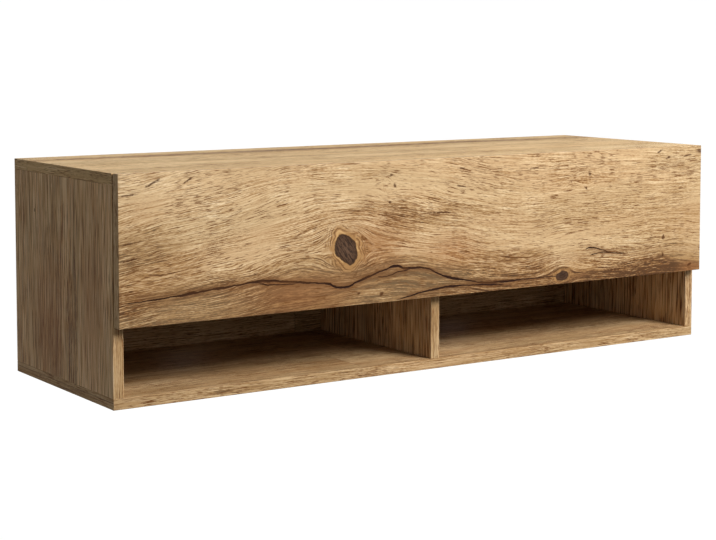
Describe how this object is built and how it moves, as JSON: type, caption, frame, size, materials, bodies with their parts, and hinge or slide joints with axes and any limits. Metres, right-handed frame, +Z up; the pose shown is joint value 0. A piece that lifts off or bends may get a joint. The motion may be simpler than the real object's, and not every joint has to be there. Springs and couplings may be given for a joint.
{
  "type": "floating media console",
  "caption": "Wall-hung media console of wood-faced boards: open niches under a drop-down flap with cup hinges, braked stays and a push latch, hooked over a wall rail.",
  "frame": {"origin": "middle of the wall rail's back face, on the wall", "axes": "+X along the console to the right as seen from the room, +Y into the wall, +Z up"},
  "size_m": [1.1, 0.36, 0.33],
  "materials": {
    "oak_faced_board": "particleboard faced with a matt oak decor, faintly textured",
    "oak_faced_front": "particleboard faced with a matt oak decor, grain lengthwise",
    "oak_faced_back": "thin fibreboard faced with a matt oak decor",
    "beech": "bare turned beech",
    "zinc_casting": "satin die-cast zinc",
    "nickel_steel": "nickel-plated steel, satin",
    "galvanised_steel": "zinc-plated sheet steel, satin",
    "grey_plastic": "moulded plastic, fine matt",
    "white_plastic": "moulded plastic, fine matt",
    "magnet_tip": "moulded plastic with a magnet in its tip"
  },
  "bodies": {
    "carcass": {"side_panel_left": "oak_faced_board", "side_panel_right": "oak_faced_board", "niche_divider": "oak_faced_board", "upper_divider": "oak_faced_board", "top_panel": "oak_faced_board", "bottom_panel": "oak_faced_board", "middle_shelf": "oak_faced_board", "back_panel": "oak_faced_back", "cam_fitting_top_left_front": "zinc_casting", "cam_fitting_top_left_rear": "zinc_casting", "cam_fitting_shelf_left_front": "zinc_casting", "cam_fitting_shelf_left_rear": "zinc_casting", "cam_fitting_top_right_front": "zinc_casting", "cam_fitting_top_right_rear": "zinc_casting", "cam_fitting_shelf_right_front": "zinc_casting", "cam_fitting_shelf_right_rear": "zinc_casting", "carcass_screw_left_front": "nickel_steel", "carcass_screw_left_rear": "nickel_steel", "carcass_screw_right_front": "nickel_steel", "carcass_screw_right_rear": "nickel_steel", "carcass_screw_divider_front": "nickel_steel", "carcass_screw_divider_rear": "nickel_steel", "dowel_shelf_front": "beech", "dowel_shelf_rear": "beech", "dowel_top_front": "beech", "dowel_top_rear": "beech", "wall_rail": "galvanised_steel", "hanger_housing_left": "white_plastic", "hanger_hook_left": "galvanised_steel", "hanger_depth_screw_left": "nickel_steel", "hanger_height_screw_left": "nickel_steel", "stay_bracket_left": "nickel_steel", "hanger_housing_right": "white_plastic", "hanger_hook_right": "galvanised_steel", "hanger_depth_screw_right": "nickel_steel", "hanger_height_screw_right": "nickel_steel", "stay_bracket_right": "nickel_steel", "hinge_arm_left": "nickel_steel", "hinge_plate_left": "nickel_steel", "hinge_arm_middle": "nickel_steel", "hinge_plate_middle": "nickel_steel", "hinge_arm_right": "nickel_steel", "hinge_plate_right": "nickel_steel", "latch_housing": "grey_plastic"},
    "flap": {"flap_front": "oak_faced_front", "hinge_cup_left": "nickel_steel", "hinge_cup_middle": "nickel_steel", "hinge_cup_right": "nickel_steel", "hinge_pin_left": "nickel_steel", "hinge_pin_middle": "nickel_steel", "hinge_pin_right": "nickel_steel", "stay_foot_left": "nickel_steel", "stay_foot_right": "nickel_steel", "latch_strike_plate": "nickel_steel"},
    "latch_plunger": {"latch_plunger": "magnet_tip"},
    "stay_brake_left": {"stay_brake_housing_left": "grey_plastic"},
    "stay_rod_left": {"stay_rod_left": "nickel_steel"},
    "stay_brake_right": {"stay_brake_housing_right": "grey_plastic"},
    "stay_rod_right": {"stay_rod_right": "nickel_steel"}
  },
  "joints": [
    {"name": "flap_hinge", "type": "hinge", "parent": "carcass", "child": "flap", "pos_m": [0, -0.354, -0.15141], "axis": [1, 0, 0], "range_deg": [0, 90]},
    {"name": "stay_brake_swivel_left", "type": "hinge", "parent": "carcass", "child": "stay_brake_left", "pos_m": [-0.518, -0.29646, -0.05765], "axis": [1, 0, 0], "range_deg": [0, 45]},
    {"name": "stay_rod_pivot_left", "type": "hinge", "parent": "flap", "child": "stay_rod_left", "pos_m": [-0.518, -0.332, -0.04363], "axis": [1, 0, 0], "range_deg": [-45, 0]},
    {"name": "stay_brake_swivel_right", "type": "hinge", "parent": "carcass", "child": "stay_brake_right", "pos_m": [0.518, -0.29646, -0.05765], "axis": [1, 0, 0], "range_deg": [0, 45]},
    {"name": "stay_rod_pivot_right", "type": "hinge", "parent": "flap", "child": "stay_rod_right", "pos_m": [0.518, -0.332, -0.04363], "axis": [1, 0, 0], "range_deg": [-45, 0]},
    {"name": "latch_plunger_slide", "type": "slide", "parent": "carcass", "child": "latch_plunger", "axis": [0, -1, 0], "range_m": [0, 0.02]}
  ],
  "couplings": [
    {"joint": "stay_brake_swivel_left", "follows": "flap_hinge", "ratio": 0.5},
    {"joint": "stay_rod_pivot_left", "follows": "flap_hinge", "ratio": -0.5},
    {"joint": "stay_brake_swivel_right", "follows": "flap_hinge", "ratio": 0.5},
    {"joint": "stay_rod_pivot_right", "follows": "flap_hinge", "ratio": -0.5},
    {"joint": "latch_plunger_slide", "follows": "flap_hinge", "m_per_rad": 0.0127}
  ]
}
